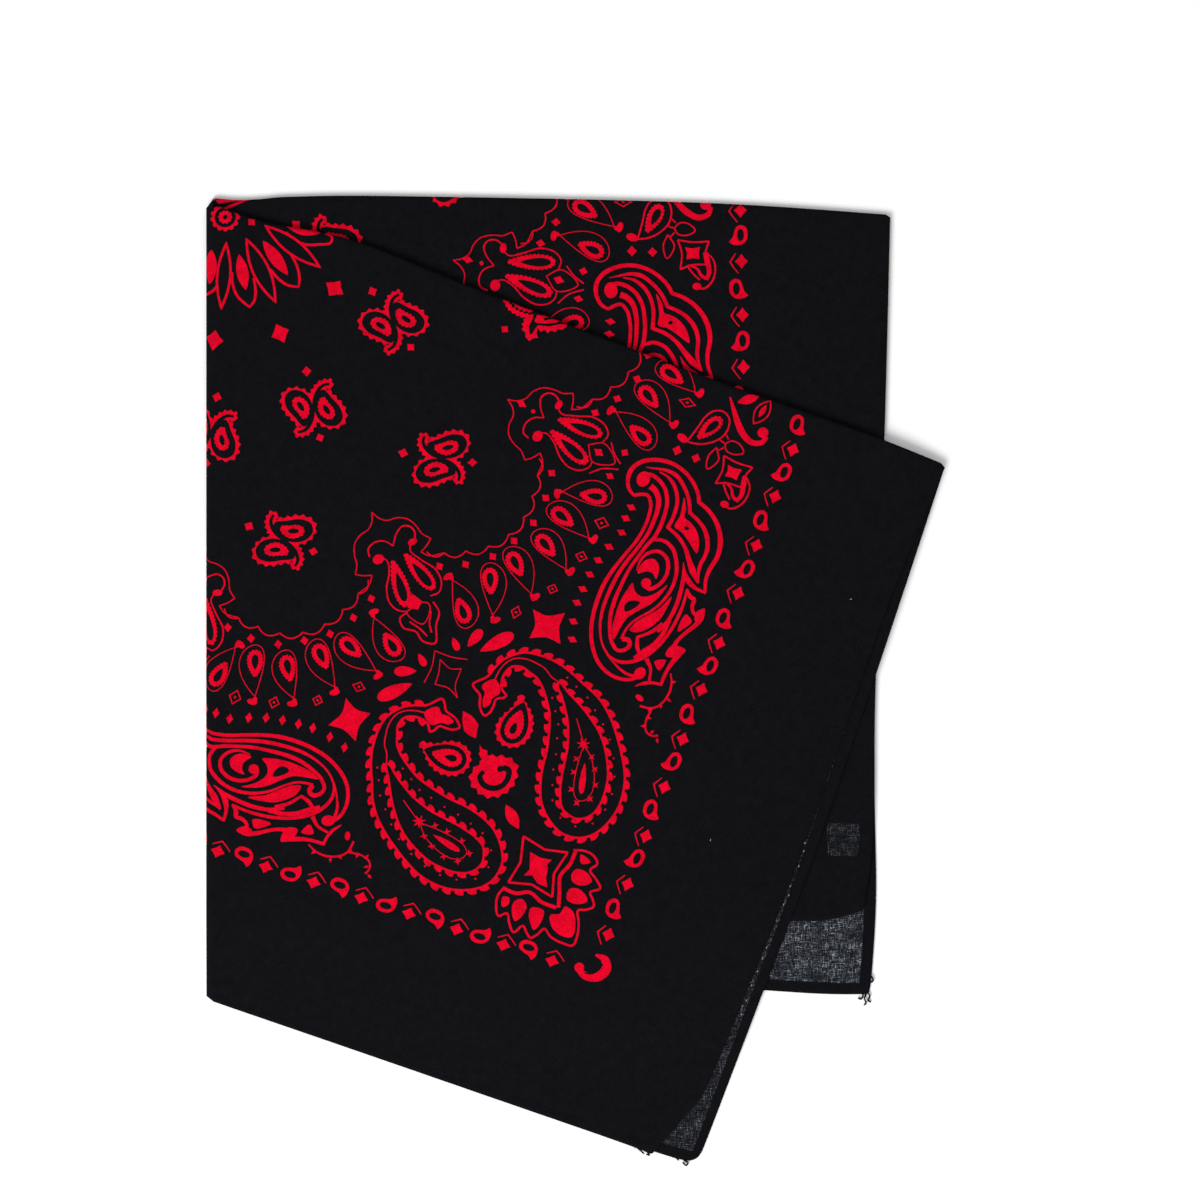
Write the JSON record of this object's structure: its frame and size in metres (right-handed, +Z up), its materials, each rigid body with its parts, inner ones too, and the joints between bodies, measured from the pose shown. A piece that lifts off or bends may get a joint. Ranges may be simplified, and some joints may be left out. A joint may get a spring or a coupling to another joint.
{
  "type": "folded paisley bandana",
  "caption": "Square cotton bandana with a paisley print, folded in four and laid flat with its front plies fanned out.",
  "frame": {"origin": "middle of the folded outline, on the surface that the cloth lies on", "axes": "+Z up through the plies; +Y towards the top fold of the back pair; +X towards the open side hems, away from the left fold"},
  "size_m": [0.273, 0.3572, 0.0049],
  "materials": {
    "printed_cotton": "plain-weave cotton, near black with a bright red paisley print",
    "reverse_cotton": "reverse of the same cotton, dark blue-grey with pale flecks",
    "hem_cotton": "turned and stitched hem, black"
  },
  "bodies": {
    "root": {"back_lower_ply": "reverse_cotton", "back_lower_side_hem": "hem_cotton", "back_lower_bottom_hem": "hem_cotton", "back_upper_ply": "printed_cotton", "back_upper_side_hem": "hem_cotton", "back_upper_bottom_hem": "hem_cotton", "front_under_ply": "reverse_cotton", "front_under_side_hem": "hem_cotton", "front_under_bottom_hem": "hem_cotton", "front_upper_ply": "printed_cotton", "front_upper_side_hem": "hem_cotton", "front_upper_bottom_hem": "hem_cotton", "left_fold_inner": "reverse_cotton", "left_fold_outer": "printed_cotton"}
  },
  "joints": []
}
